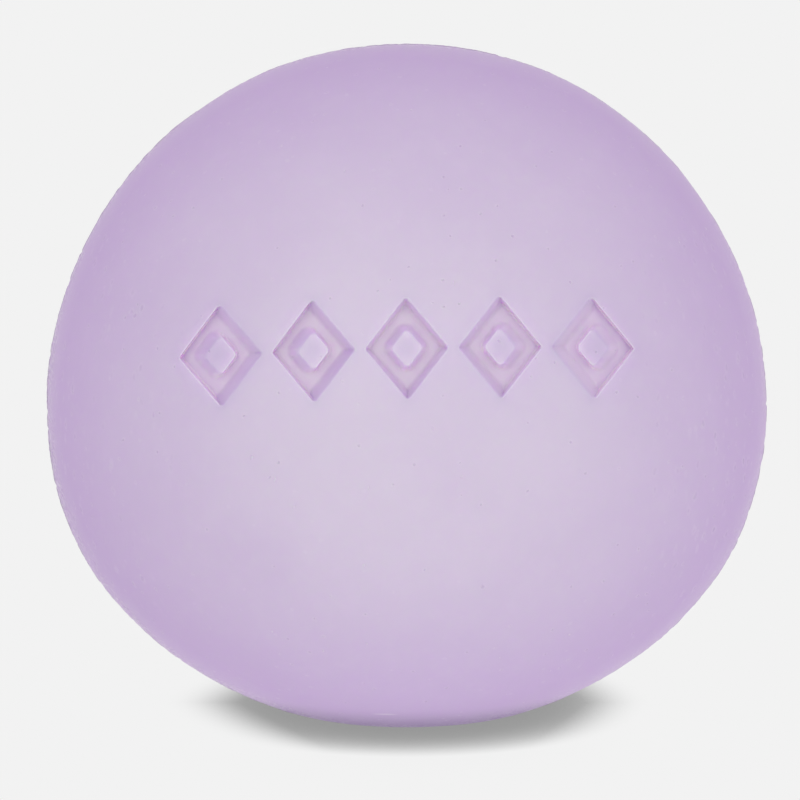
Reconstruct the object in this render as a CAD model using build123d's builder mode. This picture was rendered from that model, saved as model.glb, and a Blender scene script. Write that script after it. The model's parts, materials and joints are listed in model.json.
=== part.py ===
"""Gel squeeze ball: a soft hand ball of memory gel in a two-half elastomer casing, sagged on a flat surface.

Frame: millimetres, +Z up, origin at the centre of the flat foot that the ball rests on.
The ball lies with its mould's axis pointing forward, to -Y, and 15 degrees up. The moulded mark is about that
axis in front, the fill port is at its rear end, and the two casing halves meet in the plane square to it.
"""

from build123d import *

import os
from math import acos, cos, degrees, radians, sin, sqrt

os.makedirs("parts", exist_ok=True)

# ---- Driving dimensions, in millimetres and degrees ----

# Outer form: a ball that has sagged under its own weight onto a flat foot
ball_radius = 32.4  # at the widest level
crown_height = 32.7  # from the widest level up to the top
belly_depth = 28.9  # from the widest level down to where the ball would end if it had no foot
foot_radius = 10.6

# Way the ball lies: angle of its mould's axis above the horizontal, towards the front
mould_rise = 15.0

# Casing and core
skin = 3.0
fit_gap = 0.05  # clearance between a piece and the one it sits in

# Bonded seam between the two casing halves
seam_width = 0.7
seam_proud = 0.12  # how far the trimmed bead stands above the casing

# Moulded mark: a row of open lozenges, sunk into the front half
mark_roll = 1.2  # small turn of the row about the mould's axis
mark_lift = 3.2  # the row sits this far above the axis
mark_count = 5
mark_pitch = 8.2
lozenge_width = 7.5
lozenge_height = 9.4
lozenge_island = 0.36  # size of the raised middle, as a share of the lozenge
lozenge_corner = 0.35
mark_depth = 1.3

# Fill port at the rear end of the mould's axis, with its plug and the seal over it
port_radius = 2.0
plug_head_radius = 3.4
plug_head_thickness = 0.9
plug_flange_radius = 2.9
plug_flange_thickness = 0.8
plug_flange_relief = 0.25  # keeps the flat flange off the curved inside of the wall
seal_radius = 4.2
seal_thickness = 0.7

# ---- Derived places ----

# height of the widest level above the foot
waist = belly_depth * sqrt(1 - (foot_radius / ball_radius) ** 2)

# share of each radius that makes a cubic curve follow a quarter of an ellipse
handle = 4 / 3 * (sqrt(2) - 1)

# the plane in which the two halves meet, through the middle of the widest level
lean_cos = cos(radians(mould_rise))
lean_sin = sin(radians(mould_rise))
parting = Plane(origin=(0, 0, waist), x_dir=(1, 0, 0), z_dir=(0, -lean_cos, lean_sin))
front_face = parting.offset(seam_width / 2)
rear_face = parting.offset(-seam_width / 2)

# the mark is drawn on a plane just clear of the ball
mark_plane = parting.offset(ball_radius + mark_depth)

# the port's plane touches the sagged ball where the mould's axis comes out at the rear
pole_reach = 1 / sqrt((lean_cos / ball_radius) ** 2 + (lean_sin / belly_depth) ** 2)
port_plane = Plane(
    origin=(0, pole_reach * lean_cos, waist - pole_reach * lean_sin),
    x_dir=(1, 0, 0),
    z_dir=(0, lean_cos / ball_radius**2, -lean_sin / belly_depth**2),
)

# levels along the port's axis, measured outward from that plane
seal_floor = -seal_thickness
head_floor = seal_floor - plug_head_thickness
flange_top = -skin - plug_flange_relief
flange_floor = flange_top - plug_flange_thickness
port_start = -2 * skin
port_end = seal_thickness


def sagged_form(shrink, foot_level, mode=Mode.ADD):
    """Revolve the sagged ball, made smaller by shrink all round and cut flat at foot_level."""
    side = ball_radius - shrink
    crown = crown_height - shrink
    belly = belly_depth - shrink
    foot = side * sqrt(1 - ((waist - foot_level) / belly) ** 2)
    foot_angle = degrees(acos(foot / side))
    top = waist + crown
    with BuildSketch(Plane.XZ) as half_profile:
        with BuildLine():
            Bezier((side, waist), (side, waist + handle * crown), (handle * side, top), (0, top))
            Line((0, top), (0, foot_level))
            Line((0, foot_level), (foot, foot_level))
            EllipticalCenterArc((0, waist), side, belly, start_angle=-foot_angle, arc_size=foot_angle)
        make_face()
    revolve(half_profile.sketch, axis=Axis.Z, mode=mode)


def lozenge(share, mode=Mode.ADD):
    """A lozenge at a share of the mark's full size."""
    side_tip = share * lozenge_width / 2
    top_tip = share * lozenge_height / 2
    Polygon((side_tip, 0), (0, top_tip), (-side_tip, 0), (0, -top_tip), mode=mode)


def port_cylinder(radius, start, end, mode=Mode.ADD):
    """A cylinder on the fill port's axis between two levels."""
    with BuildSketch(port_plane.offset(start)) as disc:
        Circle(radius)
    extrude(disc.sketch, amount=end - start, mode=mode)


# ---- Front half of the casing, with the sunk mark ----

with BuildPart() as mark_pockets:
    sagged_form(0, 0)
    sagged_form(mark_depth, mark_depth, mode=Mode.SUBTRACT)
    with BuildSketch(mark_plane) as mark_sketch:
        with Locations(Location((0, mark_lift), mark_roll)):
            with GridLocations(mark_pitch, 1, mark_count, 1):
                lozenge(1)
                lozenge(lozenge_island, mode=Mode.SUBTRACT)
        fillet(mark_sketch.vertices(), radius=lozenge_corner)
    extrude(mark_sketch.sketch, amount=-ball_radius / 2, mode=Mode.INTERSECT)

with BuildPart() as front_shell:
    sagged_form(0, 0)
    sagged_form(skin, skin, mode=Mode.SUBTRACT)
    split(bisect_by=front_face, keep=Keep.TOP)
    add(mark_pockets.part, mode=Mode.SUBTRACT)

front_shell.part.label = "front_shell"
export_step(front_shell.part, "parts/front_shell.step")

# ---- Rear half of the casing, with the fill port ----

with BuildPart() as rear_shell:
    sagged_form(0, 0)
    sagged_form(skin, skin, mode=Mode.SUBTRACT)
    split(bisect_by=rear_face, keep=Keep.BOTTOM)
    port_cylinder(port_radius + fit_gap, port_start, port_end, mode=Mode.SUBTRACT)
    port_cylinder(plug_head_radius + fit_gap, head_floor, port_end, mode=Mode.SUBTRACT)
    port_cylinder(seal_radius + fit_gap, seal_floor, port_end, mode=Mode.SUBTRACT)

rear_shell.part.label = "rear_shell"
export_step(rear_shell.part, "parts/rear_shell.step")

# ---- Bonded seam: a thin ring through the whole wall, trimmed just proud of it ----

with BuildPart() as seam_bead:
    sagged_form(-seam_proud, 0)
    sagged_form(skin, skin, mode=Mode.SUBTRACT)
    split(bisect_by=front_face, keep=Keep.BOTTOM)
    split(bisect_by=rear_face, keep=Keep.TOP)

seam_bead.part.label = "seam_bead"
export_step(seam_bead.part, "parts/seam_bead.step")

# ---- Memory gel core, with a dimple that clears the plug's flange ----

with BuildPart() as gel_core:
    sagged_form(skin + fit_gap, skin + fit_gap)
    port_cylinder(plug_flange_radius + fit_gap, flange_floor - fit_gap, port_end, mode=Mode.SUBTRACT)

gel_core.part.label = "gel_core"
export_step(gel_core.part, "parts/gel_core.step")

# ---- Fill plug: head in its counterbore, shank through the wall, flange behind it ----

with BuildPart() as fill_plug:
    port_cylinder(plug_head_radius, head_floor, seal_floor)
    port_cylinder(port_radius, flange_floor, seal_floor)
    port_cylinder(plug_flange_radius, flange_floor, flange_top)

fill_plug.part.label = "fill_plug"
export_step(fill_plug.part, "parts/fill_plug.step")

# ---- Plug seal: a cured disc over the plug, flush with the ball ----

with BuildPart() as plug_seal:
    sagged_form(0, 0)
    port_cylinder(seal_radius, seal_floor, port_end, mode=Mode.INTERSECT)

plug_seal.part.label = "plug_seal"
export_step(plug_seal.part, "parts/plug_seal.step")
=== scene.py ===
"""Looks for the gel squeeze ball: a soft, milky lavender ball that sags on a pale studio floor.

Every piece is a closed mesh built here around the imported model. Lengths are metres and angles degrees, in
the model's own frame: +Z up, the sunk mark facing -Y. The ball was moulded about an axis that points to -Y
and 15 degrees up: the mark is about its front end, the fill port is at its rear end, and the two casing
halves meet in the plane square to it.
"""

import json
import math

import bmesh
import bpy
import numpy as np
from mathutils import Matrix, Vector

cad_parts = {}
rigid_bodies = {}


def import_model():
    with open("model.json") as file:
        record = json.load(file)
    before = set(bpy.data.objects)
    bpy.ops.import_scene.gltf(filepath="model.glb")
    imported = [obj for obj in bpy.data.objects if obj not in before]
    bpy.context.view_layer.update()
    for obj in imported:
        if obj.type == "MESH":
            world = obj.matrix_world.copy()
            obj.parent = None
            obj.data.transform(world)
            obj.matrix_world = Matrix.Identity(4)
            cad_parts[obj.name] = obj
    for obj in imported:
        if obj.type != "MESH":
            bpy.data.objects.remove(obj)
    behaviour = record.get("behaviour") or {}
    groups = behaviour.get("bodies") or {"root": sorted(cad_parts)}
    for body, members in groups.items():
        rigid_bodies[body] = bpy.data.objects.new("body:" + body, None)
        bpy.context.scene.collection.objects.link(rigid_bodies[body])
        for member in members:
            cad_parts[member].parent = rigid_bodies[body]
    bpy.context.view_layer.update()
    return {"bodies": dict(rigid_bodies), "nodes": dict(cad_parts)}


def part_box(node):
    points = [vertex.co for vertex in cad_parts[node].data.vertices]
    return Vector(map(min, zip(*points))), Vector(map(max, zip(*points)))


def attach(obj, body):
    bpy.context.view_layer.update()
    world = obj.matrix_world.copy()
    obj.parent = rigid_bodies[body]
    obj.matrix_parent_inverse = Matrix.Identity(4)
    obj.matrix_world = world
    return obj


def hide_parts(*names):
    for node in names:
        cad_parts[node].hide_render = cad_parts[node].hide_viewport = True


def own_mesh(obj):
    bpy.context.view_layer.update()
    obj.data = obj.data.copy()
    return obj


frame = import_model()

MM = 0.001


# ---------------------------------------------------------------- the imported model's sizes

def cad_points(node):
    """A CAD node's vertices, one row each."""
    mesh = frame["nodes"][node].data
    co = np.empty(len(mesh.vertices) * 3, np.float32)
    mesh.vertices.foreach_get("co", co)
    return co.reshape(-1, 3).astype(float)


NEAR = 1e-6
shell_points = cad_points("front_shell")
shell_low, shell_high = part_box("front_shell")
foot_points = cad_points("rear_shell")
foot_points = foot_points[foot_points[:, 2] < NEAR]
core_low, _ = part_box("gel_core")
_, bead_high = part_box("seam_bead")

radius = -shell_low.y
waist = shell_points[shell_points[:, 0] > shell_high.x - NEAR][:, 2].mean()
foot = np.linalg.norm(foot_points[:, :2], axis=1).max()
crown = shell_high.z - waist
belly = waist / math.sqrt(1 - (foot / radius) ** 2)
bead_proud = bead_high.x - shell_high.x
GAP = 0.05 * MM  # clearance between a piece and the one it sits in
skin = core_low.z - GAP

MOULD_RISE = 15.0
HALF_SEAM = 0.35 * MM
PORT_RADIUS = 2.0 * MM
PLUG_RADIUS = 3.4 * MM
FLANGE_RADIUS = 2.9 * MM
SEAL_RADIUS = 4.2 * MM
SEAL_FLOOR = -0.7 * MM  # levels along the port's axis, from the ball's surface outward
HEAD_FLOOR = -1.6 * MM
FLANGE_TOP = -3.25 * MM
FLANGE_FLOOR = -4.05 * MM

lean = math.radians(MOULD_RISE)
middle = np.array((0, 0, waist))
to_right = np.array((1.0, 0, 0))
to_front = np.array((0, -math.cos(lean), math.sin(lean)))
to_up = np.array((0, math.sin(lean), math.cos(lean)))


# ---------------------------------------------------------------- the sagged ball

TOE = 0.25 * MM  # softness of the corner between the belly and the flat foot
FULLER = (
    # angle above the widest level, half width, and how much fuller than an ellipsoid the soft ball is there
    (-28, 16, 0.009),
    (55, 30, 0.0045),
)


def unit(vectors):
    """Rows scaled to length 1."""
    return vectors / np.linalg.norm(vectors, axis=1)[:, None]


def sagged(directions, inset=0.0):
    """Where rays from the middle of the ball leave it, with its surface moved inward by inset."""
    flat = np.hypot(directions[:, 0], directions[:, 1]) / (radius - inset)
    rise = np.where(directions[:, 2] > 0, crown - inset, belly - inset)
    reach = 1 / np.hypot(flat, directions[:, 2] / rise)
    angle = np.degrees(np.arcsin(np.clip(directions[:, 2], -1, 1)))
    for level, width, share in FULLER:
        reach = reach * (1 + share * np.exp(-((angle - level) / width) ** 2))
    down = np.maximum(-directions[:, 2], NEAR)
    floor = (waist - inset) / down
    reach = -TOE * np.logaddexp(-reach / TOE, -floor / TOE)
    return middle + directions * reach[:, None]


def outward(points):
    """The ball's outward normals at points on or near its surface."""
    height = points[:, 2] - waist
    rise = np.where(height > 0, crown, belly)
    normals = np.stack((points[:, 0] / radius**2, points[:, 1] / radius**2, height / rise**2), axis=1)
    return unit(normals)


def ripple(points, wavelength, seed, waves=14):
    """A smooth, repeatable random field of about unit strength over points."""
    rng = np.random.default_rng(seed)
    total = np.zeros(len(points))
    for _ in range(waves):
        way = unit(rng.normal(size=(1, 3)))[0] * rng.uniform(0.7, 1.4)
        total += np.sin(points @ way * (2 * math.pi / wavelength) + rng.uniform(0, 2 * math.pi))
    return total / math.sqrt(waves / 2)


DENT_DEPTH = 0.03 * MM
DENT_WIDTH = 12 * MM
DENT_START = 2 * MM  # height above the floor where they begin
DENT_GROWTH = 6 * MM  # and the height over which they reach full depth


def soft_dents(points):
    """Very shallow handling dents, the same field on every outer surface, fading towards the foot."""
    fade = np.clip((points[:, 2] - DENT_START) / DENT_GROWTH, 0, 1)
    amount = DENT_DEPTH * ripple(points, DENT_WIDTH, seed=4) * fade
    return points + outward(points) * amount[:, None]


def make_room(points, side):
    """Draw one half of the ball back from the parting plane by half the seam, least at the far pole."""
    away = np.abs((points - middle) @ to_front)
    shift = HALF_SEAM / math.cos(lean) * np.clip(1 - away / radius, 0, 1)
    return points + (shift * side)[:, None] * (0, 1, 0)


# ---------------------------------------------------------------- the sunk mark

MARK_ROLL = 1.2
MARK_LIFT = 3.2 * MM
MARK_COUNT = 5
MARK_PITCH = 8.2 * MM
LOZENGE = (7.5 * MM, 9.4 * MM)
ISLAND_SHARE = 0.36
CORNER = 0.35 * MM
MARK_DEPTH = 1.3 * MM
WALL_RUN = 0.65 * MM  # from the mouth to the foot of the wall
LIP = 0.15  # shares of that run that are rounded over at the mouth and at the foot
TOE_IN = 0.40
SPLAY = 0.034  # sideways lean of the floors per unit of depth, for each millimetre away from the row's middle
SPLAY_CENTRE = 2.0 * MM
SPLAY_MOST = 0.34
SPLAY_UP = 0.12
LIP_REACH = 0.45 * MM  # how far the thin lip outside a mouth glows
ISLAND_LIP = 0.55  # least share of that glow on the small raised middles
FULL_LEAN = 0.25  # a wall that leans this much behind its mouth counts as hidden
RIGHT_GLOW = 0.3  # least glow of the walls that are turned to the right
ON_MOUTH = 0.002 * MM  # how near a point is to a mouth when it lies on it
HALVINGS = 14  # steps that find where an edge of the grid crosses a mouth


def mark_coordinates(points):
    """Where points fall on the mark's drawing plane: across and up, from the row's middle."""
    across = points @ to_right
    up = (points - middle) @ to_up - MARK_LIFT
    turn = math.radians(MARK_ROLL)
    return across * math.cos(turn) + up * math.sin(turn), up * math.cos(turn) - across * math.sin(turn)


def lozenge_distance(x, y, share):
    """Signed distance to a lozenge with rounded corners, negative inside."""
    bx, by = share * LOZENGE[0] / 2, share * LOZENGE[1] / 2
    side = bx * by / math.hypot(bx, by)
    corner = min(CORNER, side * 0.8)
    bx, by = bx * (1 - corner / side), by * (1 - corner / side)
    x, y = np.abs(x), np.abs(y)
    h = np.clip(((bx - 2 * x) * bx - (by - 2 * y) * by) / (bx * bx + by * by), -1, 1)
    gap = np.hypot(x - bx * (1 - h) / 2, y - by * (1 + h) / 2)
    return gap * np.sign(x * by + y * bx - bx * by) - corner


def from_lozenge(across):
    """How far points are across from the middle of the nearest lozenge of the row."""
    nearest = np.clip(np.round(across / MARK_PITCH), -(MARK_COUNT // 2), MARK_COUNT // 2)
    return across - nearest * MARK_PITCH


def mark_distance(across, up):
    """Signed distance to the nearest stroke of the row, negative inside a stroke."""
    x = from_lozenge(across)
    return np.maximum(lozenge_distance(x, up, 1.0), -lozenge_distance(x, up, ISLAND_SHARE))


def stroke_distance(points):
    """Signed distance of surface points to the mouth of the nearest stroke."""
    across, up = mark_coordinates(points)
    ahead = (points - middle) @ to_front > 0
    return np.where(ahead, mark_distance(across, up), 1.0)


SLOPE_STEP = 0.02 * MM


def mouth_slope(points):
    """How fast the distance to the nearest mouth grows to the right and upward."""
    step = SLOPE_STEP
    slopes = []
    for way in (to_right, to_up):
        change = stroke_distance(points + step * way) - stroke_distance(points - step * way)
        slopes.append(change / (2 * step))
    return slopes


def snap_to_mouths(directions, reach):
    """Slide surface points that almost lie on a mouth onto it."""
    for _ in range(3):
        points = sagged(directions)
        d = stroke_distance(points)
        right, up = mouth_slope(points)
        near = np.abs(d) < reach
        shift = np.where(near, -d, 0)
        points += (shift * right)[:, None] * to_right + (shift * up)[:, None] * to_up
        directions = np.where(near[:, None], unit(points - middle), directions)
    return directions


def cut_at_mouths(directions, quads):
    """Cut the quads that a mouth crosses along it.

    Returns all directions, with those of the cuts last, and the faces.
    """
    distance = stroke_distance(sagged(directions))
    side = np.where(np.abs(distance) < ON_MOUTH, 0, np.sign(distance)).astype(int)
    crossed = (side[quads].min(1) < 0) & (side[quads].max(1) > 0)
    faces = quads[~crossed].tolist()
    cuts = {}
    for quad in quads[crossed].tolist():
        loop, ends = [], []
        for a, b in zip(quad, quad[1:] + quad[:1]):
            if side[a] == 0:
                ends.append(len(loop))
            loop.append(a)
            if side[a] * side[b] < 0:
                ends.append(len(loop))
                loop.append(cuts.setdefault((min(a, b), max(a, b)), len(directions) + len(cuts)))
        if len(ends) == 2:
            faces.append(loop[ends[0]:ends[1] + 1])
            faces.append(loop[ends[1]:] + loop[:ends[0] + 1])
        else:
            faces.append(loop)
    first, last = np.array(list(cuts)).T
    start, way = directions[first], directions[last] - directions[first]
    low, high = np.zeros(len(first)), np.ones(len(first))
    for _ in range(HALVINGS):
        half = (low + high) / 2
        same = stroke_distance(sagged(unit(start + way * half[:, None]))) * side[first] > 0
        low, high = np.where(same, half, low), np.where(same, high, half)
    return np.concatenate((directions, unit(start + way * low[:, None]))), faces


def wall_depth(run):
    """Share of the full depth along a wall: rounded at the mouth, straight, then rounded into the floor."""
    slope = 1 / (1 - (LIP + TOE_IN) / 2)
    lip = slope * np.minimum(run, LIP) ** 2 / (2 * LIP)
    straight = slope * np.clip(run - LIP, 0, 1 - LIP - TOE_IN)
    into = np.clip(run - (1 - TOE_IN), 0, TOE_IN)
    return lip + straight + slope * (into - into**2 / (2 * TOE_IN))


def sink_mark(points):
    """Press the strokes into the front of the ball.

    Also gives each point's share of the depth, which places painted light on the floors, of a wall's painted
    glow (most where it hides behind its mouth, none where it is turned to the eye) and of the painted shade
    on the lip outside a mouth.
    """
    across, above = mark_coordinates(points)
    d = stroke_distance(points)
    run = np.clip(-d / WALL_RUN, 0, 1)
    share = wall_depth(run)
    side = np.clip(SPLAY / MM * (across - SPLAY_CENTRE), -SPLAY_MOST, SPLAY_MOST)
    way = side[:, None] * to_right + SPLAY_UP * to_up - to_front
    right, up = mouth_slope(points)
    hidden = (1 + np.clip((side * right + SPLAY_UP * up) / FULL_LEAN, -1, 1)) / 2
    hidden = np.where(side > 0, np.maximum(hidden, RIGHT_GLOW), hidden)
    wall = 4 * run * (1 - run) * hidden
    lip = np.where(d > 0, np.exp(-np.maximum(d, 0) / LIP_REACH), np.clip(1 - 3 * run, 0, 1))
    island = (d > 0) & (lozenge_distance(from_lozenge(across), above, ISLAND_SHARE) < 0)
    lip = np.where(island, np.maximum(lip, ISLAND_LIP), lip)
    return points + (MARK_DEPTH * share)[:, None] * way, np.stack((share, wall, lip), axis=1)


# ---------------------------------------------------------------- mesh helpers

def mesh_piece(name, points, faces, body):
    """A smooth, closed mesh object that rides on a CAD body and remembers its rest shape."""
    mesh = bpy.data.meshes.new(name)
    mesh.from_pydata(points.tolist(), [], faces)
    mesh.validate()
    work = bmesh.new()
    work.from_mesh(mesh)
    bmesh.ops.recalc_face_normals(work, faces=work.faces)
    work.to_mesh(mesh)
    work.free()
    mesh.polygons.foreach_set("use_smooth", np.ones(len(mesh.polygons), bool))
    piece = bpy.data.objects.new(name, mesh)
    bpy.context.scene.collection.objects.link(piece)
    note(piece, "rest_mm", (points - middle) / MM)
    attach(piece, body)
    return piece


def note(piece, name, rows):
    """Store a vector per vertex for the materials to read."""
    store = piece.data.attributes.new(name, "FLOAT_VECTOR", "POINT")
    store.data.foreach_set("vector", rows.astype(np.float32).ravel())


def ring_faces(rings, closed=False):
    """Quads between consecutive rings of vertex numbers, all of one length."""
    pairs = list(zip(rings, rings[1:]))
    if closed:
        pairs.append((rings[-1], rings[0]))
    faces = []
    for a, b in pairs:
        faces += np.stack((a, np.roll(a, -1), np.roll(b, -1), b), axis=1).tolist()
    return faces


def zip_loops(first, second, points):
    """Triangles between two loops about the parting plane's middle, of different numbers of points."""
    def by_angle(loop):
        spots = points[loop] - middle
        angle = np.arctan2(spots @ to_up, spots @ to_right)
        order = np.argsort(angle)
        return [loop[i] for i in order], np.append(angle[order], angle[order[0]] + 2 * math.pi)

    a, angle_a = by_angle(first)
    b, angle_b = by_angle(second)
    faces, i, j = [], 0, 0
    while i < len(a) or j < len(b):
        if j >= len(b) or (i < len(a) and angle_a[i + 1] <= angle_b[j + 1]):
            faces.append((a[i % len(a)], a[(i + 1) % len(a)], b[j % len(b)]))
            i += 1
        else:
            faces.append((a[i % len(a)], b[(j + 1) % len(b)], b[j % len(b)]))
            j += 1
    return faces


# ---------------------------------------------------------------- front half of the casing

def spaced(start, stop, step):
    """Evenly spaced angles from start to stop, about step apart, without the last one."""
    count = max(1, round((stop - start) / step))
    return list(np.linspace(start, stop, count + 1)[:-1])


def half_ball(columns, rows, depths):
    """A quad grid over the front half of a ball, as the front five faces of a rounded cube.

    Columns and rows run from -45 to 45 degrees, and depths from 45 degrees back to 0 at the seam.
    Returns unit directions, quads and the loop of vertices in the parting plane.
    """
    column, row, depth = (np.tan(np.radians(v)) for v in (columns, rows, depths))
    patches = (
        (column, row, lambda u, v: (u, v, 1)),
        (depth, row, lambda u, v: (1, v, u)),
        (depth, row, lambda u, v: (-1, v, u)),
        (column, depth, lambda u, v: (u, 1, v)),
        (column, depth, lambda u, v: (u, -1, v)),
    )
    grids = []
    for first, second, spot in patches:
        grids.append(np.array([[spot(u, v) for v in second] for u in first], float))
    corners = np.concatenate([unit(grid.reshape(-1, 3)) for grid in grids])
    _, first, where = np.unique(np.round(corners, 7), axis=0, return_index=True, return_inverse=True)
    where = where.ravel()
    quads, start = [], 0
    for grid in grids:
        shape = grid.shape[:2]
        number = where[start:start + shape[0] * shape[1]].reshape(shape)
        start += shape[0] * shape[1]
        corner = (number[:-1, :-1], number[1:, :-1], number[1:, 1:], number[:-1, 1:])
        quads.append(np.stack(corner, axis=-1).reshape(-1, 4))
    spots = corners[first]
    rim = np.nonzero(np.abs(spots[:, 2]) < NEAR)[0].tolist()
    directions = spots @ np.stack((to_right, to_up, to_front))
    return directions, np.concatenate(quads), rim


FINE = 0.2  # degrees between grid lines across the mark, beside it, and above and below it
BESIDE = 0.8
COARSE = 1.3
FACE_EDGE = 45  # each face of the rounded cube spans this far to both sides
MARK_SIDE = 40  # angles that the fine grid spans: to each side, down and up
MARK_DOWN = -5
MARK_UP = 18
SNAP = 0.15  # share of a fine cell within which a grid point slides onto a mouth


def front_half():
    """The front half of the casing: its outer skin with the sunk mark, its rim and its plain inside."""
    columns = spaced(-FACE_EDGE, -MARK_SIDE, BESIDE) + spaced(-MARK_SIDE, MARK_SIDE, FINE)
    columns += spaced(MARK_SIDE, FACE_EDGE, BESIDE) + [FACE_EDGE]
    rows = spaced(-FACE_EDGE, MARK_DOWN, COARSE) + spaced(MARK_DOWN, MARK_UP, FINE)
    rows += spaced(MARK_UP, FACE_EDGE, COARSE) + [FACE_EDGE]
    outer, quads, outer_rim = half_ball(columns, rows, np.linspace(FACE_EDGE, 0, 24))
    outer = snap_to_mouths(outer, reach=SNAP * math.radians(FINE) * radius)
    outer, faces = cut_at_mouths(outer, quads)
    pressed, shares = sink_mark(sagged(outer))
    pressed = soft_dents(pressed)
    plain = np.linspace(-FACE_EDGE, FACE_EDGE, 31)
    inner, inner_quads, inner_rim = half_ball(plain, plain, np.linspace(FACE_EDGE, 0, 16))
    points = make_room(np.concatenate((pressed, sagged(inner, skin))), -1.0)
    faces += (inner_quads + len(outer)).tolist()
    faces += zip_loops(outer_rim, [i + len(outer) for i in inner_rim], points)
    piece = mesh_piece("front_casing", points, faces, "front")
    note(piece, "mark", np.concatenate((shares, np.zeros((len(inner), 3)))))
    return piece


front_shell = front_half()
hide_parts("front_shell")


# ---------------------------------------------------------------- round pieces about the fill port

AROUND = 360
EDGE = 0.08 * MM  # softened edge

pole = sagged(-to_front[None, :])[0]
port_out = outward(pole[None, :])[0]
port_up = np.cross(to_right, port_out)


def circle(around):
    """Directions across the port's axis and the matching directions in the parting plane."""
    turn = np.linspace(0, 2 * math.pi, around, endpoint=False)[:, None]
    port = np.cos(turn) * to_right + np.sin(turn) * port_up
    parting = np.cos(turn) * to_right + np.sin(turn) * to_up
    return port, parting


def turned(section, around=AROUND):
    """Rings about the port's axis. A section point is (distance from the axis, level along it)."""
    across, _ = circle(around)
    return [pole + r * across + level * port_out for r, level in section]


def port_ring(r, inset=0.0, around=AROUND):
    """The ring where a tube about the port's axis comes out of the ball, moved inward by inset."""
    across, _ = circle(around)
    scale = 1 / (np.array((radius, radius, belly)) - inset)
    start = (pole + r * across - middle) * scale
    way = port_out * scale
    b = start @ way / (way @ way)
    c = ((start**2).sum(1) - 1) / (way @ way)
    level = -b + np.sqrt(b * b - c)
    return sagged(unit(pole + r * across + level[:, None] * port_out - middle), inset)


def arc_rings(start, end, count, inset=0.0):
    """Rings on the sagged ball along the arcs from start to end directions, without the first."""
    rings = []
    angle = np.arccos(np.clip((start * end).sum(1), -1, 1))[:, None]
    for t in np.linspace(0, 1, count + 1)[1:]:
        way = (np.sin((1 - t) * angle) * start + np.sin(t * angle) * end) / np.sin(angle)
        rings.append(sagged(unit(way), inset))
    return rings


def ring_piece(name, rings, body, closed, caps=False):
    """A mesh from rings in order. Caps close both ends with a middle point."""
    around = len(rings[0])
    numbers = [np.arange(k * around, (k + 1) * around) for k in range(len(rings))]
    faces = ring_faces(numbers, closed)
    points = np.concatenate(rings)
    if caps:
        first, last = len(points), len(points) + 1
        points = np.concatenate((points, [rings[0].mean(0)], [rings[-1].mean(0)]))
        for end, ring in ((first, numbers[0]), (last, numbers[-1])):
            faces += [(end, int(a), int(b)) for a, b in zip(ring, np.roll(ring, -1))]
    return mesh_piece(name, points, faces, body)


def rear_half():
    """The rear half of the casing, with a stepped fill port through it."""
    _, rim = circle(AROUND)
    mouth = SEAL_RADIUS + GAP
    lip = port_ring(mouth + EDGE)
    outside = [lip] + arc_rings(unit(lip - middle), rim, 92)
    outside = [make_room(soft_dents(ring), 1.0) for ring in outside]
    edge = port_ring(mouth) - EDGE * port_out
    bore = turned([
        (mouth, SEAL_FLOOR + EDGE),
        (mouth - EDGE, SEAL_FLOOR),
        (PLUG_RADIUS + GAP + EDGE, SEAL_FLOOR),
        (PLUG_RADIUS + GAP, SEAL_FLOOR - EDGE),
        (PLUG_RADIUS + GAP, HEAD_FLOOR + EDGE),
        (PLUG_RADIUS + GAP - EDGE, HEAD_FLOOR),
        (PORT_RADIUS + GAP + EDGE, HEAD_FLOOR),
        (PORT_RADIUS + GAP, HEAD_FLOOR - EDGE),
        (PORT_RADIUS + GAP, -skin + EDGE),
    ])
    inner_lip = port_ring(PORT_RADIUS + GAP + EDGE, skin)
    inside = [inner_lip] + arc_rings(unit(inner_lip - middle), rim, 40, skin)
    inside = [make_room(ring, 1.0) for ring in inside]
    rings = outside[::-1] + [edge] + bore + inside
    return ring_piece("rear_casing", rings, "rear", closed=True)


rear_shell = rear_half()
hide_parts("rear_shell")


SEAL_DROP = 0.02 * MM
ROLL = (0.06 * MM, 0.86, 0.09)  # the rolled edge: height, then place and half width as shares of the radius
SINK = (0.07 * MM, 0.28)  # the sink mark: depth, then half width as a share of the radius


def seal_disc():
    """The cured disc over the plug: a shallow dome with a rolled edge and a small sink mark."""
    around = 180
    rings = turned([(SEAL_RADIUS - EDGE, SEAL_FLOOR + GAP), (SEAL_RADIUS, SEAL_FLOOR + 1.5 * EDGE)], around)
    rings.append(port_ring(SEAL_RADIUS, around=around) - EDGE * port_out)
    for share in np.linspace(0.98, 0.03, 30):
        roll = ROLL[0] * math.exp(-((share - ROLL[1]) / ROLL[2]) ** 2)
        sink = SINK[0] * math.exp(-((share / SINK[1]) ** 2))
        rings.append(port_ring(SEAL_RADIUS * share, around=around) + (roll - sink - SEAL_DROP) * port_out)
    return ring_piece("port_seal", rings, "rear", closed=False, caps=True)


plug_seal = seal_disc()
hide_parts("plug_seal")


CAP = 0.3 * MM  # radius of the flat ring in the middle of an end


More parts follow.
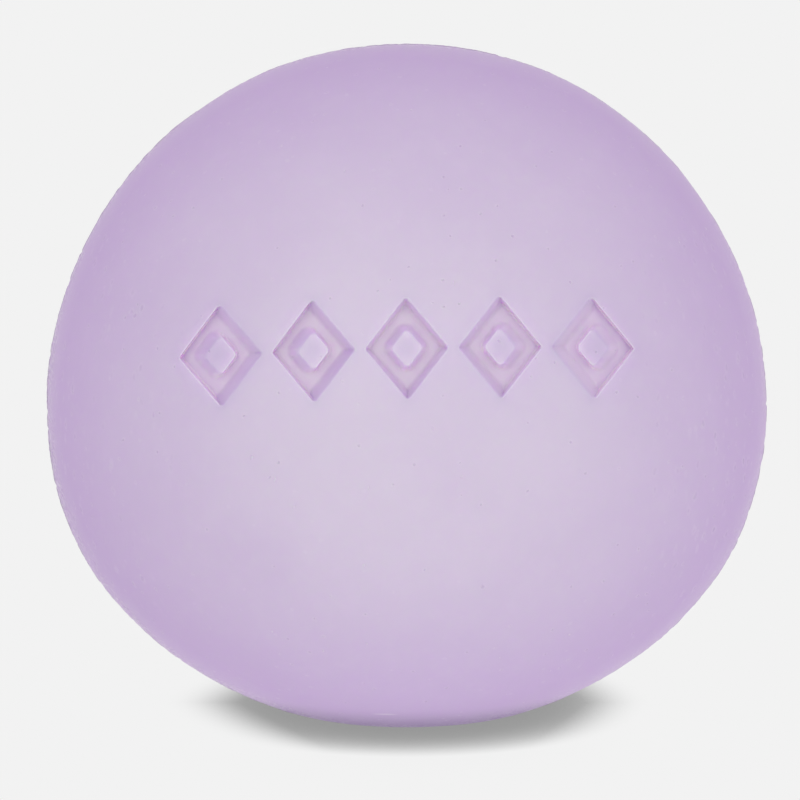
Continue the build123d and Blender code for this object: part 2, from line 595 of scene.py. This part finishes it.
def bung():
    """The fill plug: a flat head, a shank and a flange, all with softened edges."""
    section = [
        (CAP, SEAL_FLOOR),
        (PLUG_RADIUS - 2 * EDGE, SEAL_FLOOR),
        (PLUG_RADIUS, SEAL_FLOOR - 2 * EDGE),
        (PLUG_RADIUS, HEAD_FLOOR + 2 * EDGE),
        (PLUG_RADIUS - EDGE, HEAD_FLOOR + EDGE / 2),
        (PORT_RADIUS + EDGE, HEAD_FLOOR + EDGE / 2),
        (PORT_RADIUS, HEAD_FLOOR - EDGE),
        (PORT_RADIUS, FLANGE_TOP + 2 * EDGE),
        (PORT_RADIUS + EDGE, FLANGE_TOP),
        (FLANGE_RADIUS - EDGE, FLANGE_TOP),
        (FLANGE_RADIUS, FLANGE_TOP - EDGE),
        (FLANGE_RADIUS, FLANGE_FLOOR + 2 * EDGE),
        (FLANGE_RADIUS - 2 * EDGE, FLANGE_FLOOR),
        (CAP, FLANGE_FLOOR),
    ]
    return ring_piece("fill_bung", turned(section, 96), "rear", closed=False, caps=True)


fill_plug = bung()
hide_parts("fill_plug")


# ---------------------------------------------------------------- gel core

def gel_mass():
    """The memory gel: the casing's inner form, with a dimple at the rear that clears the plug's flange."""
    around = 180
    inset = skin + GAP
    dimple = FLANGE_RADIUS + GAP
    _, rim = circle(around)
    lip = port_ring(dimple + EDGE, inset, around)
    rings = [lip] + arc_rings(unit(lip - middle), rim, 50, inset)
    nose = np.tile(to_front, (around, 1))
    rings += arc_rings(rim, nose, 50, inset)[:-1]
    floor = FLANGE_FLOOR - GAP
    rings = turned([(CAP, floor), (dimple - EDGE, floor), (dimple, floor + EDGE)], around) + rings
    return ring_piece("gel_filling", rings, "rear", closed=False, caps=True)


gel_core = gel_mass()
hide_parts("gel_core")


# ---------------------------------------------------------------- seam

BEAD_AROUND = 1440
CREST_LEVEL = 0.58  # the crest's usual height, as a share of the highest
CREST_WAVES = ((0.12, 26), (0.08, 5), (0.10, 1))  # strengths and widths of its unevenness
NICKS = 46
NICK_WIDTH = (0.1 * MM, 0.35 * MM)
NICK_DEPTH = (0.03 * MM, 0.11 * MM)
BEAD_ROOT = 0.3 * MM  # depth where the bead's sides leave the surface


def grit(count, width, rng):
    """Unit-strength random values round a ring, smoothed over about width neighbours."""
    reach = np.arange(-4 * width, 4 * width + 1)
    kernel = np.exp(-0.5 * (reach / width) ** 2)
    values = rng.normal(size=count)
    smooth = np.convolve(np.concatenate((values, values, values)), kernel, "same")[count:2 * count]
    return smooth / smooth.std()


def seam_ring():
    """The bonded seam: a thin ring through the wall, with an unevenly trimmed crest and a few nicks."""
    _, out = circle(BEAD_AROUND)
    turn = np.linspace(0, 2 * math.pi, BEAD_AROUND, endpoint=False)
    rng = np.random.default_rng(21)
    uneven = np.full(BEAD_AROUND, CREST_LEVEL)
    for strength, width in CREST_WAVES:
        uneven += strength * grit(BEAD_AROUND, width, rng)
    crest = bead_proud * np.clip(uneven, 0.05, 1.0)
    for place in rng.uniform(0, 2 * math.pi, NICKS):
        width = rng.uniform(*NICK_WIDTH) / radius
        away = (turn - place + math.pi) % (2 * math.pi) - math.pi
        crest -= rng.uniform(*NICK_DEPTH) * np.exp(-((away / width) ** 2))
    edge = np.minimum(crest, 0) - 0.01 * MM
    profile = (
        # height over the casing and place across the seam, from its front edge to its rear edge
        (edge, -1.0), (0.75 * crest, -0.6), (crest, -0.15), (crest, 0.2), (0.7 * crest, 0.65), (edge, 1.0),
    )
    shift = HALF_SEAM / math.cos(lean)
    surface = soft_dents(sagged(out))
    normals = outward(surface)
    rings = []
    for lift, side in profile:
        ring = surface + normals * lift[:, None]
        ring[:, 1] += side * shift
        ring[:, 2] = np.maximum(ring[:, 2], 0)
        rings.append(ring)
    for depth, side in ((BEAD_ROOT, 1.0), (skin, 1.0), (skin, -1.0), (BEAD_ROOT, -1.0)):
        ring = sagged(out, depth)
        ring[:, 1] += side * shift
        rings.append(ring)
    return ring_piece("seam_line", rings, "rear", closed=True)


seam_bead = seam_ring()
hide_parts("seam_bead")


# ---------------------------------------------------------------- squeeze

def bulge_group():
    """Geometry nodes that widen a piece across the squeeze, so that the gel keeps its volume."""
    group = bpy.data.node_groups.new("keep_volume", "GeometryNodeTree")
    group.interface.new_socket("Geometry", in_out="INPUT", socket_type="NodeSocketGeometry")
    group.interface.new_socket("Geometry", in_out="OUTPUT", socket_type="NodeSocketGeometry")
    nodes, links = group.nodes, group.links
    start, end = nodes.new("NodeGroupInput"), nodes.new("NodeGroupOutput")
    moved = nodes.new("GeometryNodeObjectInfo")
    moved.transform_space = "ORIGINAL"
    moved.inputs["Object"].default_value = frame["bodies"]["front"]
    split = nodes.new("ShaderNodeSeparateXYZ")
    links.new(moved.outputs["Location"], split.inputs[0])
    left = nodes.new("ShaderNodeMath")
    left.operation = "MULTIPLY_ADD"
    left.inputs[1].default_value = -1 / (2 * radius)
    left.inputs[2].default_value = 1.0
    links.new(split.outputs["Y"], left.inputs[0])
    wider = nodes.new("ShaderNodeMath")
    wider.operation = "POWER"
    wider.inputs[1].default_value = -0.5
    links.new(left.outputs[0], wider.inputs[0])
    scale = nodes.new("ShaderNodeCombineXYZ")
    scale.inputs["Y"].default_value = 1.0
    links.new(wider.outputs[0], scale.inputs["X"])
    links.new(wider.outputs[0], scale.inputs["Z"])
    place = nodes.new("GeometryNodeInputPosition")
    product = nodes.new("ShaderNodeVectorMath")
    product.operation = "MULTIPLY"
    links.new(place.outputs[0], product.inputs[0])
    links.new(scale.outputs[0], product.inputs[1])
    move = nodes.new("GeometryNodeSetPosition")
    links.new(start.outputs[0], move.inputs["Geometry"])
    links.new(product.outputs[0], move.inputs["Position"])
    links.new(move.outputs[0], end.inputs[0])
    return group


keep_volume = bulge_group()
for piece in (front_shell, rear_shell, seam_bead, gel_core, fill_plug, plug_seal):
    piece.modifiers.new("keep_volume", "NODES").node_group = keep_volume
    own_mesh(piece)


# ---------------------------------------------------------------- materials

def colour(r, g, b):
    """A colour from 0 to 255 sRGB steps, as linear values."""
    def linear(v):
        v /= 255
        return v / 12.92 if v <= 0.04045 else ((v + 0.055) / 1.055) ** 2.4
    return (linear(r), linear(g), linear(b), 1.0)


class Nodes:
    """Small helper that adds and joins shader nodes."""

    def __init__(self, material):
        material.use_nodes = True
        self.tree = material.node_tree
        self.tree.nodes.clear()

    def add(self, kind, **settings):
        node = self.tree.nodes.new(kind)
        for name, value in settings.items():
            setattr(node, name, value)
        return node

    def put(self, socket, value):
        if isinstance(value, bpy.types.NodeSocket):
            self.tree.links.new(value, socket)
        else:
            socket.default_value = value

    def math(self, operation, *values, clamp=False):
        node = self.add("ShaderNodeMath", operation=operation, use_clamp=clamp)
        for socket, value in zip(node.inputs, values):
            self.put(socket, value)
        return node.outputs[0]

    def ramp(self, value, low, high, to_low=0.0, to_high=1.0, kind="SMOOTHSTEP"):
        node = self.add("ShaderNodeMapRange", interpolation_type=kind)
        names = ("Value", "From Min", "From Max", "To Min", "To Max")
        for name, v in zip(names, (value, low, high, to_low, to_high)):
            self.put(node.inputs[name], v)
        return node.outputs["Result"]

    def mix(self, factor, a, b):
        node = self.add("ShaderNodeMix", data_type="RGBA")
        for index, value in ((0, factor), (6, a), (7, b)):
            self.put(node.inputs[index], value)
        return node.outputs[2]

    def tint(self, base, share, by):
        """Multiply a colour by another, as far as share says."""
        node = self.add("ShaderNodeMix", data_type="RGBA", blend_type="MULTIPLY", clamp_result=False)
        for index, value in ((0, share), (6, base), (7, by)):
            self.put(node.inputs[index], value)
        return node.outputs[2]

    def stretch(self, place, x, y, z):
        node = self.add("ShaderNodeVectorMath", operation="MULTIPLY")
        self.put(node.inputs[0], place)
        self.put(node.inputs[1], (x, y, z))
        return node.outputs[0]

    def split(self, vector):
        node = self.add("ShaderNodeSeparateXYZ")
        self.put(node.inputs[0], vector)
        return node.outputs

    def noise(self, place, scale, detail=2.0, roughness=0.5):
        node = self.add("ShaderNodeTexNoise")
        for name, v in (("Vector", place), ("Scale", scale), ("Detail", detail), ("Roughness", roughness)):
            self.put(node.inputs[name], v)
        return node.outputs["Fac"]

    def dots(self, place, scale, size, share):
        """Scattered small marks of uneven outline: each one's core, and the thin ring round it."""
        cell = self.add("ShaderNodeTexVoronoi", feature="F1")
        self.put(cell.inputs["Vector"], place)
        self.put(cell.inputs["Scale"], scale)
        chance = self.add("ShaderNodeSeparateColor")
        self.put(chance.inputs[0], cell.outputs["Color"])
        kept = self.math("GREATER_THAN", share, chance.outputs["Red"])
        core = self.math("MULTIPLY", self.ramp(cell.outputs["Distance"], size * 0.4, size, 1.0, 0.0), kept)
        wide = self.math("MULTIPLY", self.ramp(cell.outputs["Distance"], size, size * 1.9, 1.0, 0.0), kept)
        return core, self.math("SUBTRACT", wide, core)

    def warped(self, place, scale, amount):
        """The same place, shifted about a little by noise."""
        texture = self.add("ShaderNodeTexNoise")
        self.put(texture.inputs["Vector"], place)
        self.put(texture.inputs["Scale"], scale)
        centred = self.add("ShaderNodeVectorMath", operation="SUBTRACT")
        self.put(centred.inputs[0], texture.outputs["Color"])
        self.put(centred.inputs[1], (0.5, 0.5, 0.5))
        shifted = self.add("ShaderNodeVectorMath", operation="MULTIPLY_ADD")
        self.put(shifted.inputs[0], centred.outputs[0])
        self.put(shifted.inputs[1], (amount, amount, amount))
        self.put(shifted.inputs[2], place)
        return shifted.outputs[0]

    def bump(self, height, distance, strength=1.0, normal=None):
        node = self.add("ShaderNodeBump")
        self.put(node.inputs["Height"], height)
        self.put(node.inputs["Distance"], distance)
        self.put(node.inputs["Strength"], strength)
        if normal is not None:
            self.put(node.inputs["Normal"], normal)
        return node.outputs["Normal"]


FACE = colour(221, 210, 228)  # where the surface faces the eye
LIMB_TONE_AND_SHADE = colour(197, 169, 216)  # where it turns away: partly the gel's own deeper tone, partly painted shade towards the limb
PIT = colour(150, 124, 170)
LINT = colour(236, 230, 240)
STROKE_FLOOR_PAINTED_LIGHT = (1.12, 1.08, 1.09, 1)  # painted light: light that sinks in round a stroke and comes out of its floor
STROKE_WALL_PAINTED_LIGHT = (1.30, 1.56, 1.11, 1)  # painted light: and out of the walls that hide behind their mouth
LIP_PAINTED_SHADE = (0.90, 0.90, 0.94, 1)  # painted shade on the thin lip, which is lit from two sides
CONTACT_PAINTED_SHADE = (0.45, 0.40, 0.52, 1)  # painted contact shade: the colour darkens near the floor, where little light gets into the gel
CONTACT_RISE = 3.6  # millimetres above the floor
ALL_LIMB = 0.72  # how far the surface turns away before it has the limb's colour

# Scales below are in cells or waves per millimetre, and shares say how far a colour is mixed in.
CLOUD = (0.06, 0.10)  # wide clouds of the limb's colour: scale, share
MOTTLE = (0.5, 0.03)  # fine pale mottling
TRIM_LIGHT = 0.32
TRIM_DARK = 0.20
DASH_LIGHT = 0.11
DASH_DARK = 0.13
STREAK_LIGHT = 0.35
PITS = (0.66, 0.10, 0.6)  # scale, size in cells and share of the cells that have one
LINTS = (0.5, 0.07, 0.45)
PIT_DARK = 0.16
RIM_LIGHT = 0.12
LINT_LIGHT = 0.30
GRAIN = (2.6, 0.012 * MM)  # the skin's fine grain: scale, depth
WAVES = (0.35, 0.08 * MM)  # and its soft waves
MARK_RELIEF = 0.05 * MM  # depth of the trim marks, pits and dashes, and height of the lint
SINK_IN = (1.0, 0.72, 1.1)  # how far red, green and blue light travel inside the gel
SINK_SCALE = 1.8 * MM
GEL_IOR = 1.43


def flank_dashes(n, place):
    """Short upright scuffs on the left and right flanks: each one's core and pale rim, both 0 elsewhere."""
    x, _, z = n.split(place)[:3]
    bent = n.warped(place, 0.8, 0.8)
    core, rim = n.dots(n.stretch(bent, 1.0, 0.8, 0.55), 1.1, 0.24, 0.5)
    flank = n.ramp(n.math("ABSOLUTE", x), 18.0, 26.0)
    level = n.ramp(n.math("ABSOLUTE", z), 12.0, 26.0, 1.0, 0.0)
    patch = n.ramp(n.noise(place, 0.12, 2.0), 0.40, 0.60, 0.2, 1.0)
    seen = n.math("MULTIPLY", n.math("MULTIPLY", flank, level), patch)
    return n.math("MULTIPLY", core, seen), n.math("MULTIPLY", rim, seen)


def trim_marks(n, place):
    """Short rough marks beside the parting plane, where the seam was trimmed: -1 to 1, and 0 elsewhere."""
    dot = n.add("ShaderNodeVectorMath", operation="DOT_PRODUCT")
    n.put(dot.inputs[0], place)
    n.put(dot.inputs[1], tuple(to_front))
    away = n.math("ADD", n.math("ABSOLUTE", dot.outputs["Value"]), n.noise(place, 1.2, 1.0))
    band = n.ramp(away, 5.2, 8.0, 1.0, 0.0)
    marks = n.noise(n.stretch(place, 3.0, 0.8, 3.0), 1.0, 1.0, 0.5)
    marks = n.ramp(marks, 0.36, 0.64, -0.8, 1.0, kind="LINEAR")
    side = n.ramp(n.split(place)[0], -12.0, 20.0, 1.0, 0.4)
    patch = n.ramp(n.noise(place, 0.22, 2.0), 0.40, 0.58, 0.45, 1.0)
    return n.math("MULTIPLY", n.math("MULTIPLY", marks, band), n.math("MULTIPLY", side, patch))


STREAK_PLACE = (-1.9, -17.2, -24.5)  # millimetres from the middle of the ball
STREAK_SIZE = (1.5, 4.0, 0.16)


def low_pale_streak(n, place):
    """One short pale streak low on the front: 1 on it and 0 elsewhere."""
    offset = n.add("ShaderNodeVectorMath", operation="SUBTRACT")
    n.put(offset.inputs[0], place)
    n.put(offset.inputs[1], STREAK_PLACE)
    reach = n.add("ShaderNodeVectorMath", operation="LENGTH")
    n.put(reach.inputs[0], n.stretch(offset.outputs[0], *(1 / size for size in STREAK_SIZE)))
    return n.ramp(reach.outputs["Value"], 0.3, 1.0, 1.0, 0.0)


def gel_colour(n, place, face, limb, trimmed, dash, dash_rim, pits):
    """The skin's colour: paler where it faces the eye, with clouds, marks, scuffs, a pale streak, pits and
    lint.

    Painted shade makes part of the limb's deeper tone and darkens the foot; painted light and shade tint the
    strokes.
    """
    # The colour deepens from the face to the limb with the angle of view: partly the gel's own tone, partly
    # painted shade.
    weight = n.add("ShaderNodeLayerWeight")
    weight.inputs["Blend"].default_value = 0.5
    base = n.mix(n.ramp(weight.outputs["Facing"], 0.0, ALL_LIMB, kind="LINEAR"), face, limb)
    base = n.mix(n.ramp(n.noise(place, CLOUD[0], 3.0), 0.38, 0.66, 0.0, CLOUD[1]), base, limb)
    mottle = n.noise(place, MOTTLE[0], 4.0, 0.6)
    base = n.mix(n.ramp(mottle, 0.4, 0.75, 0.0, MOTTLE[1]), base, (1, 1, 1, 1))

    light = n.math("MULTIPLY", trimmed, TRIM_LIGHT)
    light = n.math("ADD", light, n.math("MULTIPLY", dash_rim, DASH_LIGHT), clamp=True)
    dark = n.math("MULTIPLY", trimmed, -TRIM_DARK)
    dark = n.math("ADD", dark, n.math("MULTIPLY", dash, DASH_DARK), clamp=True)
    base = n.mix(light, base, LINT)
    base = n.mix(dark, base, PIT)
    # A short pale streak low on the front.
    base = n.mix(n.math("MULTIPLY", low_pale_streak(n, place), STREAK_LIGHT), base, LINT)

    # Painted contact shade: the colour darkens within CONTACT_RISE millimetres of the floor.
    height = n.math("ADD", n.split(place)[2], waist / MM)
    base = n.tint(base, n.ramp(height, 0.0, CONTACT_RISE, 1.0, 0.0), CONTACT_PAINTED_SHADE)
    sunk, wall, lip = n.split(n.add("ShaderNodeAttribute", attribute_name="mark").outputs["Vector"])[:3]
    # Painted light on the strokes' floors and hidden walls, and painted shade on the thin lips.
    base = n.tint(base, sunk, STROKE_FLOOR_PAINTED_LIGHT)
    base = n.tint(base, wall, STROKE_WALL_PAINTED_LIGHT)
    base = n.tint(base, lip, LIP_PAINTED_SHADE)

    pit, pit_rim, lint = pits
    base = n.mix(n.math("MULTIPLY", pit, PIT_DARK), base, PIT)
    light = n.math("ADD", n.math("MULTIPLY", lint, LINT_LIGHT), n.math("MULTIPLY", pit_rim, RIM_LIGHT))
    return n.mix(light, base, LINT), mottle


def gel_relief(n, place, grain, trimmed, marks, lint):
    """The skin's fine relief: grain, soft waves, trim marks, and the pits, dashes and lint."""
    normal = n.bump(n.noise(place, GRAIN[0], 3.0, 0.6), GRAIN[1] * grain, 0.6)
    normal = n.bump(n.noise(place, WAVES[0], 2.0), WAVES[1], 0.5, normal)
    normal = n.bump(trimmed, MARK_RELIEF, 1.0, normal)
    return n.bump(n.math("SUBTRACT", lint, marks), MARK_RELIEF, 1.0, normal)


def gel_look(name, face=FACE, limb=LIMB_TONE_AND_SHADE, roughness=0.5, grain=1.0, scatter=1.0):
    """Milky soft elastomer: light sinks in, the limb is deeper in colour, partly by painted shade, and the
    skin has fine marks.
    """
    material = bpy.data.materials.new(name)
    n = Nodes(material)
    place = n.add("ShaderNodeAttribute", attribute_name="rest_mm").outputs["Vector"]
    trimmed = trim_marks(n, place)
    dash, dash_rim = flank_dashes(n, place)
    uneven = n.warped(place, 2.2, 0.35)
    pit, pit_rim = n.dots(uneven, *PITS)
    lint, _ = n.dots(n.stretch(uneven, 1.0, 1.0, 0.5), *LINTS)
    base, mottle = gel_colour(n, place, face, limb, trimmed, dash, dash_rim, (pit, pit_rim, lint))
    normal = gel_relief(n, place, grain, trimmed, n.math("ADD", pit, dash), lint)

    shader = n.add("ShaderNodeBsdfPrincipled")
    n.put(shader.inputs["Base Color"], base)
    rough = n.ramp(mottle, 0.3, 0.7, roughness - 0.05, roughness + 0.05)
    n.put(shader.inputs["Roughness"], rough)
    n.put(shader.inputs["IOR"], GEL_IOR)
    n.put(shader.inputs["Subsurface Weight"], 1.0)
    n.put(shader.inputs["Subsurface Radius"], SINK_IN)
    n.put(shader.inputs["Subsurface Scale"], SINK_SCALE * scatter)
    n.put(shader.inputs["Normal"], normal)
    out = n.add("ShaderNodeOutputMaterial")
    n.put(out.inputs["Surface"], shader.outputs[0])
    return material


SEAM_FACE = colour(208, 194, 217)
SEAM_LIMB_TONE_AND_SHADE = colour(176, 152, 193)
PLUG_FACE = colour(204, 188, 216)

casing_look = gel_look("casing_gel")
seam_look = gel_look("seam_gel", face=SEAM_FACE, limb=SEAM_LIMB_TONE_AND_SHADE, roughness=0.62, grain=2.5, scatter=0.5)
core_look = gel_look("core_gel", roughness=0.35, grain=0.4)
plug_look = gel_look("plug_gel", face=PLUG_FACE, roughness=0.45, scatter=0.6)
seal_look = gel_look("seal_gel", roughness=0.32, grain=0.5, scatter=0.8)
for piece, look in (
    (front_shell, casing_look), (rear_shell, casing_look), (seam_bead, seam_look),
    (gel_core, core_look), (fill_plug, plug_look), (plug_seal, seal_look),
):
    piece.data.materials.append(look)


# ---------------------------------------------------------------- studio

PALE = 242  # the backdrop's and the floor's tone, in sRGB steps
FLOOR_SIZE = 3.0  # half its side
FLOOR_DROP = 0.02 * MM  # keeps it just clear of the foot
BASE_LIGHT = 0.74
LOBES = (
    # azimuth to the camera's right, elevation, half width, strength
    (7, 6, 80, 0.42),
    (-45, 55, 50, 0.15),
)
SHADE_NEAR = (4.8 * MM, 0.64)  # how far the floor looks for shade, and how much that weighs
SHADE_WIDE = (11 * MM, 0.08)
SHADE_LEAN = (0, 0.65, 0.76)  # the floor looks a little rearward, so the shadow reaches a little forward
SHADE_CENTRE = 0.5 * MM
SHADE_FADE = (15.7 * MM, 25.3 * MM)  # the shade fades between these distances, which count sideways in full
SHADE_FADE_ALONG = (0.45, 0.30)  # and forward or rearward by these shares, at the left and at the right
SHADE_TURN = 12 * MM  # how far to each side those shares are reached
SHADE_FULL = 0.70  # the weight that makes the floor as dark as it gets
SHADE_DEEPEST = 0.65
SHADE_SEEN = 0.35  # the shade's strength in the light that the floor throws back at the ball
BOUNCE_LEFT = (-60 * MM, 0.92)  # a place to the left, and how strongly the floor there throws light back
BOUNCE_RIGHT = (60 * MM, 0.98)
BOUNCE_FRONT = (38 * MM, 1.09)  # width of the brighter strip in the middle, and how much brighter it is


def lobe_way(azimuth, elevation):
    """The unit direction towards a light lobe's middle."""
    a, e = math.radians(azimuth), math.radians(elevation)
    return (math.sin(a) * math.cos(e), -math.cos(a) * math.cos(e), math.sin(e))


def floor_shade(n, across, along):
    """How dark the ball's soft contact shadow makes the floor, from how much of the sky the ball covers."""
    left = 1.0
    for reach, share in (SHADE_NEAR, SHADE_WIDE):
        open_sky = n.add("ShaderNodeAmbientOcclusion", samples=8)
        open_sky.inputs["Distance"].default_value = reach
        n.put(open_sky.inputs["Normal"], SHADE_LEAN)
        shade = n.math("SUBTRACT", 1.0, open_sky.outputs["AO"])
        left = n.math("MULTIPLY_ADD", shade, -share, left)
    along_share = n.ramp(across, -SHADE_TURN, SHADE_TURN, *SHADE_FADE_ALONG)
    aside = n.math("ABSOLUTE", n.math("SUBTRACT", across, SHADE_CENTRE))
    aside = n.math("MULTIPLY_ADD", n.math("ABSOLUTE", along), along_share, aside)
    near = n.ramp(aside, SHADE_FADE[0], SHADE_FADE[1], 1.0, 0.0, kind="LINEAR")
    weight = n.math("MULTIPLY", n.math("SUBTRACT", 1.0, left), near)
    return n.ramp(weight, 0.0, SHADE_FULL, 0.0, SHADE_DEEPEST)


def floor_bounce(n, across):
    """How strongly the floor throws light back at the ball, from place to place."""
    bounce = n.ramp(across, BOUNCE_LEFT[0], BOUNCE_RIGHT[0], BOUNCE_LEFT[1], BOUNCE_RIGHT[1], kind="LINEAR")
    strip = n.ramp(n.math("ABSOLUTE", across), 0.0, BOUNCE_FRONT[0], BOUNCE_FRONT[1], 1.0)
    return n.math("MULTIPLY", bounce, strip)


def studio_floor():
    """A plain pale floor, evenly bright to the camera but for the soft contact shadow."""
    corners = [(-FLOOR_SIZE, -FLOOR_SIZE, 0), (FLOOR_SIZE, -FLOOR_SIZE, 0)]
    corners += [(FLOOR_SIZE, FLOOR_SIZE, 0), (-FLOOR_SIZE, FLOOR_SIZE, 0)]
    mesh = bpy.data.meshes.new("floor")
    mesh.from_pydata(corners, [], [(0, 1, 2, 3)])
    floor = bpy.data.objects.new("floor", mesh)
    floor.location.z = -FLOOR_DROP
    bpy.context.scene.collection.objects.link(floor)
    material = bpy.data.materials.new("pale_floor")
    n = Nodes(material)
    across, along = n.split(n.add("ShaderNodeNewGeometry").outputs["Position"])[:2]
    seen = n.add("ShaderNodeLightPath").outputs["Is Camera Ray"]
    shade = n.math("MULTIPLY", floor_shade(n, across, along), n.ramp(seen, 0.0, 1.0, SHADE_SEEN, 1.0))
    strength = n.ramp(seen, 0.0, 1.0, floor_bounce(n, across), 1.0)
    glow = n.add("ShaderNodeEmission")
    glow.inputs["Color"].default_value = colour(PALE, PALE, PALE)
    n.put(glow.inputs["Strength"], n.math("MULTIPLY", n.math("SUBTRACT", 1.0, shade), strength))
    out = n.add("ShaderNodeOutputMaterial")
    n.put(out.inputs["Surface"], glow.outputs[0])
    mesh.materials.append(material)


def studio_light():
    """Soft light from all round, a little stronger from above and from the camera's side.

    The camera itself sees a plain backdrop."""
    world = bpy.data.worlds.new("studio")
    bpy.context.scene.world = world
    n = Nodes(world)
    way = n.add("ShaderNodeTexCoord").outputs["Generated"]
    total = BASE_LIGHT
    for azimuth, elevation, wide, strength in LOBES:
        dot = n.add("ShaderNodeVectorMath", operation="DOT_PRODUCT")
        n.put(dot.inputs[0], way)
        n.put(dot.inputs[1], lobe_way(azimuth, elevation))
        edge = math.cos(math.radians(wide))
        total = n.math("ADD", total, n.ramp(dot.outputs["Value"], edge, 1.0, 0.0, strength))
    lamp = n.add("ShaderNodeBackground")
    lamp.inputs["Color"].default_value = (1.0, 1.0, 1.0, 1)
    n.put(lamp.inputs["Strength"], total)
    backdrop = n.add("ShaderNodeBackground")
    backdrop.inputs["Color"].default_value = colour(PALE, PALE, PALE)
    seen = n.add("ShaderNodeLightPath").outputs["Is Camera Ray"]
    both = n.add("ShaderNodeMixShader")
    n.put(both.inputs[0], seen)
    n.put(both.inputs[1], lamp.outputs[0])
    n.put(both.inputs[2], backdrop.outputs[0])
    out = n.add("ShaderNodeOutputWorld")
    n.put(out.inputs["Surface"], both.outputs[0])


CAMERA_RISE = 11.5
CAMERA_AWAY = 1.2
SENSOR = 36.0
FRAME_WIDTH = 72.2 * MM  # what the frame spans at the ball's middle
AIM_RIGHT = -0.6 * MM
AIM_UP = 0.61 * MM


def studio_camera():
    """A long lens, a little above the ball and square to its mark."""
    data = bpy.data.cameras.new("camera")
    data.sensor_width = SENSOR
    data.lens = SENSOR * CAMERA_AWAY / FRAME_WIDTH
    data.clip_start, data.clip_end = 0.01, 20
    camera = bpy.data.objects.new("camera", data)
    bpy.context.scene.collection.objects.link(camera)
    rise = math.radians(CAMERA_RISE)
    back = Vector((0, -math.cos(rise), math.sin(rise)))
    up = Vector((0, math.sin(rise), math.cos(rise)))
    camera.location = Vector((AIM_RIGHT, 0, waist)) + up * AIM_UP + back * CAMERA_AWAY
    camera.rotation_mode = "QUATERNION"
    camera.rotation_quaternion = (-back).to_track_quat("-Z", "Y")
    bpy.context.scene.camera = camera


studio_floor()
studio_light()
studio_camera()
scene = bpy.context.scene
scene.view_settings.view_transform = "Standard"
scene.view_settings.look = "None"
